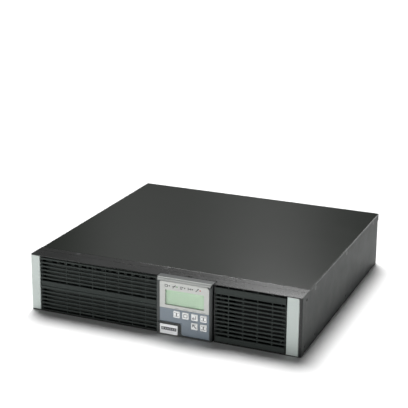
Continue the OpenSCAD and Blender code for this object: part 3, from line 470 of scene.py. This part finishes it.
# Metals: colour, roughness, stretch of the grain, grain per metre and grain depth in metres. Zinc goes on
# with its spangle, which is otherwise 0
METALS = {
    "zinc_steel": ((0.56, 0.58, 0.60), 0.34, (1, 1, 1), 500, 5e-6, 0.5),
    "brass_plate": ((0.78, 0.60, 0.30), 0.26, (1, 6, 1), 900, 4e-6),
    "aluminium": ((0.70, 0.72, 0.74), 0.32, (1, 0.04, 1), 1500, 5e-6),
    "copper_wire": ((0.62, 0.27, 0.12), 0.30, (1, 1, 9), 260, 60e-6),
    "fastener_steel": ((0.66, 0.67, 0.68), 0.26, (1, 1, 1), 900, 4e-6),
    "port_metal": ((0.64, 0.65, 0.66), 0.24, (6, 1, 1), 700, 3e-6),
}


def make_finishes():
    """Every material by name, most of them one for each of the record's slots."""
    finishes = {name: moulded(name, *values) for name, values in MOULDED.items()}
    for name, values in METALS.items():
        finishes[name] = metal(name, *values)
    finishes["silver_paint"] = silver_paint("silver_paint", (0.42, 0.465, 0.445))
    finishes["screen_glass"] = clear_lens("screen_glass")
    finishes["screen_green"] = screen_layer("screen_green")
    finishes["circuit_board"] = circuit_board("circuit_board")
    # The display's trim takes the pillars' silver paint darkened: painted shade standing in for the
    # dimmer light on the trim
    finishes["trim_silver_shaded"] = silver_paint("trim_silver_shaded", (0.27, 0.28, 0.27))
    return finishes


# ---------------------------------------------------------------- pieces

def paint_nodes(finishes):
    """Gives every CAD node its slot's finish, the display's trim a darker copy of the silver paint as
    painted shade, and returns the slots by node."""
    slots = {s["node"]: s["material_slot"] for s in frame["record"]["subparts"]}
    for name, node in frame["nodes"].items():
        node.data.materials.clear()
        node.data.materials.append(finishes[slots[name]])
    # The trim's darker copy of the silver paint is painted shade
    frame["nodes"]["display_trim"].data.materials[0] = finishes["trim_silver_shaded"]
    return slots


# Points this near are one, in metres, and faces that bend less than this are one flat face
SAME_POINT = 1e-6
FLAT_WITHIN = math.radians(0.6)
# Outer edges that bend more than this are rounded, if they are this many times longer than the rounding
ROUND_ABOVE = math.radians(35)
LONG_ENOUGH = 4.0
ROUND_STEPS = 2
# Shading breaks where faces bend more than this
CREASE_ABOVE = math.radians(34)
# A side face looks sideways by more than this, and lies within this of the case's side, in metres
SIDEWAYS = 0.8
SIDE_DEPTH = 1.5 * MM


def rounded(node, width, sides=None):
    """A copy of a CAD node with its long outer edges rounded, which stands for the node.
    Its outermost side faces take the finish sides, if there is one: a lighter, less glossy paint, as
    painted light on sides that catch more light."""
    side_x = cad_high[0] - SIDE_DEPTH
    source = frame["nodes"][node]
    mesh = bpy.data.meshes.new(node + "_rounded")
    bm = bmesh.new()
    bm.from_mesh(source.data)
    bmesh.ops.remove_doubles(bm, verts=bm.verts, dist=SAME_POINT)
    bmesh.ops.dissolve_limit(bm, angle_limit=FLAT_WITHIN, verts=bm.verts, edges=bm.edges)
    sharp = [
        e for e in bm.edges
        if len(e.link_faces) == 2 and e.is_convex
        and e.calc_face_angle() > ROUND_ABOVE and e.calc_length() > LONG_ENOUGH * width
    ]
    bmesh.ops.bevel(bm, geom=sharp, offset=width, segments=ROUND_STEPS, profile=0.5,
                    affect="EDGES", clamp_overlap=True)
    bm.to_mesh(mesh)
    bm.free()
    for polygon in mesh.polygons:
        polygon.use_smooth = True
        # Outer side faces take the lighter side finish: painted light
        if sides and abs(polygon.normal.x) > SIDEWAYS and abs(polygon.center.x) > side_x:
            polygon.material_index = 1
    mesh.set_sharp_from_angle(angle=CREASE_ABOVE)
    piece = bpy.data.objects.new(node + "_rounded", mesh)
    scene.collection.objects.link(piece)
    level = piece.modifiers.new("level_faces", "WEIGHTED_NORMAL")
    level.mode = "FACE_AREA"
    level.weight = 100
    level.keep_sharp = True
    mesh.materials.append(source.data.materials[0])
    if sides:
        mesh.materials.append(sides)
    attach(piece, source["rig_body"])
    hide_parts(node)


make_camera()
make_studio()
finishes = make_finishes()
node_slots = paint_nodes(finishes)

# How far each node's outer edges are rounded, in millimetres
ROUNDED = {
    "top_cover": 0.45, "front_frame": 0.45, "chassis_base": 0.3, "rear_panel": 0.25,
    "front_bezel": 0.45, "left_pillar": 0.4, "right_pillar": 0.4,
    "right_grille": 0.3, "battery_door": 0.3,
    "display_housing": 0.45, "display_trim": 0.35, "lcd_plate": 0.3, "keypad_plate": 0.3,
    "name_plate": 0.15, "slot_cover": 0.3, "outlet_banks": 0.35, "inlet_socket": 0.35,
    "breaker_body": 0.4, "fan_frame": 0.4, "battery_tray": 0.25, "tray_handle": 0.5,
    **{f"battery_{i}": 1.2 for i in range(1, 4)},
    **{f"key_{i}": 0.4 for i in range(1, 7)},
}
# Nodes whose side faces take the case paint, lighter and less glossy than their tops and fronts: painted
# light for the sides, which the light falls on more brightly
NODES_WITH_LIT_SIDES = ("top_cover", "front_frame", "front_bezel")
for name, width in ROUNDED.items():
    rounded(name, width * MM, finishes["case_paint"] if name in NODES_WITH_LIT_SIDES else None)


# ---------------------------------------------------------------- printed marks and lit lights

# Faces that marks are printed on, as their y in metres. The label's marks lie on its recessed floor
LABEL_RECESS = 0.2 * MM
KEY_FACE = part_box("key_1")[0][1]
PLATE_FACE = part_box("lcd_plate")[0][1]
LENS_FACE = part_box("status_lights")[0][1]
LABEL_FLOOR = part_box("name_plate")[0][1] + LABEL_RECESS

# The signs below are drawn in millimetres about their own centres, then made this much wider and taller
KEY_SIGN_SCALE = (1.2, 1.15)
LIGHT_SIGN_SCALE = (1.4, 1.7)
LIGHT_COUNT = 5
LENS_RADIUS = 1.0
LIT_RADIUS = 0.92
SIGN_LEFT_OF_LIGHT = 4.4
DASH_REACH = 3.2
DASH_Z = (43.5, 44.1)
# The label's band as left, bottom, right and top, and the bars on it: one wide, then small ones
BAND = (4.3, 8.0, 28.0, 12.6)
WIDE_BAR = (5.2, 8.7, 8.6, 11.9)
BAR_COUNT = 5
BAR_X, BAR_PITCH, BAR_WIDE = 10.2, 3.5, 2.4
BAR_Z = (9.1, 11.5)
BAND_DEPTH = 0.08


def centre(node):
    """The middle of a node's box as (x, z) in millimetres, seen from the front."""
    low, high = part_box(node)
    return (low[0] + high[0]) / 2 / MM, (low[2] + high[2]) / 2 / MM


def light_centres():
    """The middles of the status lights, which stand in one row, as (x, z) in millimetres."""
    low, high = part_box("status_lights")
    first, last = low[0] / MM + LENS_RADIUS, high[0] / MM - LENS_RADIUS
    pitch = (last - first) / (LIGHT_COUNT - 1)
    return [(first + i * pitch, centre("status_lights")[1]) for i in range(LIGHT_COUNT)]


def printed(name, shapes, y, material, body, depth=0.08):
    """Flat marks in the X, Z plane, depth mm thick, whose backs lie on the plane y.
    Each shape is a list of (x, z) corners in millimetres, anticlockwise seen from the front."""
    mesh = bpy.data.meshes.new(name)
    bm = bmesh.new()
    for shape in shapes:
        face = bm.faces.new([bm.verts.new((x * MM, y, z * MM)) for x, z in shape])
        grown = bmesh.ops.extrude_face_region(bm, geom=[face])
        moved = [v for v in grown["geom"] if isinstance(v, bmesh.types.BMVert)]
        bmesh.ops.translate(bm, verts=moved, vec=(0, -depth * MM, 0))
    bmesh.ops.recalc_face_normals(bm, faces=bm.faces)
    bm.to_mesh(mesh)
    bm.free()
    mesh.materials.append(material)
    piece = bpy.data.objects.new(name, mesh)
    scene.collection.objects.link(piece)
    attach(piece, body)


def box(x0, z0, x1, z1):
    """An upright rectangle from its lower left to its upper right corner."""
    return [(x0, z0), (x1, z0), (x1, z1), (x0, z1)]


def slanted(x0, z0, x1, z1, width):
    """A bar of that width from (x0, z0) to (x1, z1)."""
    run = Vector((x1 - x0, z1 - z0)).normalized()
    side = Vector((-run.y, run.x)) * width / 2
    return [
        (x0 - side.x, z0 - side.y), (x1 - side.x, z1 - side.y),
        (x1 + side.x, z1 + side.y), (x0 + side.x, z0 + side.y),
    ]


def disc(x, z, radius, count=20):
    """A circle about (x, z) with that many corners."""
    turn = 2 * math.pi / count
    return [(x + radius * math.cos(i * turn), z + radius * math.sin(i * turn)) for i in range(count)]


def outline(x0, z0, x1, z1, t):
    """The four sides of a rectangle, t thick."""
    return [box(x0, z0, x1, z0 + t), box(x0, z1 - t, x1, z1),
            box(x0, z0 + t, x0 + t, z1 - t), box(x1 - t, z0 + t, x1, z1 - t)]


def add_key_marks(ink):
    """A plain sign on each key: bars, a square, a bent arrow and a slanted arrow."""
    bars = [box(-0.6, -2.6, 0.6, 2.6), box(-2.7, 1.9, -1.2, 2.6), box(1.2, 1.9, 2.7, 2.6),
            box(-2.7, -2.6, -1.2, -1.9), box(1.2, -2.6, 2.7, -1.9)]
    square = outline(-2.5, -2.5, 2.5, 2.5, 0.7)
    bent = [box(-2.6, -1.9, 2.2, -1.1), box(1.5, -1.1, 2.2, 2.4),
            slanted(-2.6, -1.5, -1.0, 0.2, 0.7), slanted(-2.6, -1.5, -1.0, -3.1, 0.7)]
    slant = [slanted(-2.2, 2.2, 2.6, -2.4, 1.0), box(-2.6, 1.9, 1.2, 2.7), box(-2.6, -1.2, -1.8, 1.9)]
    wide, tall = KEY_SIGN_SCALE
    for k, marks in enumerate((bars, square, bent, bars, slant, bars), 1):
        x, z = centre(f"key_{k}")
        placed = [[(x + wide * a, z + tall * b) for a, b in mark] for mark in marks]
        printed(f"key_{k}_mark", placed, KEY_FACE, ink, f"key_{k}")


def add_plate_marks(ink, faint):
    """Small signs beside the status lights, and a short dash over each key of the upper row."""
    signs = [
        outline(-1.9, -1.1, 1.3, 1.1, 0.45) + [box(1.3, -0.45, 1.9, 0.45)],
        [box(-1.9, -0.25, 1.9, 0.25), slanted(-1.6, -1.5, 1.6, 1.5, 0.5), box(-1.9, -1.6, -0.6, -1.1)],
        outline(-1.8, -1.4, 0.4, 0.9, 0.45) + [box(0.4, 0.2, 1.9, 0.7)],
        [box(-1.8, -1.4, -1.3, 1.4), box(-1.3, -0.25, 1.2, 0.25), box(1.2, -0.9, 1.7, 0.9)],
        [slanted(-1.8, -1.5, 1.6, 1.3, 0.6), box(0.3, 1.0, 1.8, 1.5)],
    ]
    wide, tall = LIGHT_SIGN_SCALE
    marks = []
    for sign, (light_x, z) in zip(signs, light_centres()):
        x = light_x - SIGN_LEFT_OF_LIGHT
        marks += [[(x + wide * a, z + tall * b) for a, b in part] for part in sign]
    printed("status_marks", marks, PLATE_FACE, ink, "display")
    key_x = [centre(f"key_{k}")[0] for k in range(1, 5)]
    dashes = [box(x - DASH_REACH, DASH_Z[0], x + DASH_REACH, DASH_Z[1]) for x in key_x]
    printed("key_dashes", dashes, PLATE_FACE, faint, "display")


def add_lights(light_finishes):
    """A coloured disc on each status light's lens, with a finish for each from the left."""
    for i, (finish, (x, z)) in enumerate(zip(light_finishes, light_centres()), 1):
        printed(f"light_{i}", [disc(x, z, LIT_RADIUS)], LENS_FACE, finish, "display", 0.06)


def add_label_marks(band, light):
    """A dark band with plain light bars, in place of any lettering."""
    printed("label_band", [box(*BAND)], LABEL_FLOOR, band, "display", BAND_DEPTH)
    lefts = [BAR_X + BAR_PITCH * i for i in range(BAR_COUNT)]
    bars = [box(*WIDE_BAR)] + [box(x, BAR_Z[0], x + BAR_WIDE, BAR_Z[1]) for x in lefts]
    printed("label_bars", bars, LABEL_FLOOR - BAND_DEPTH * MM, light, "display", 0.05)


add_key_marks(finishes["print_key"])
add_plate_marks(finishes["print_ink"], finishes["print_faint"])
off, green, red = (finishes[name] for name in ("lens_off", "lens_green", "lens_red"))
add_lights((off, green, off, off, red))
add_label_marks(finishes["print_band"], finishes["print_bars"])
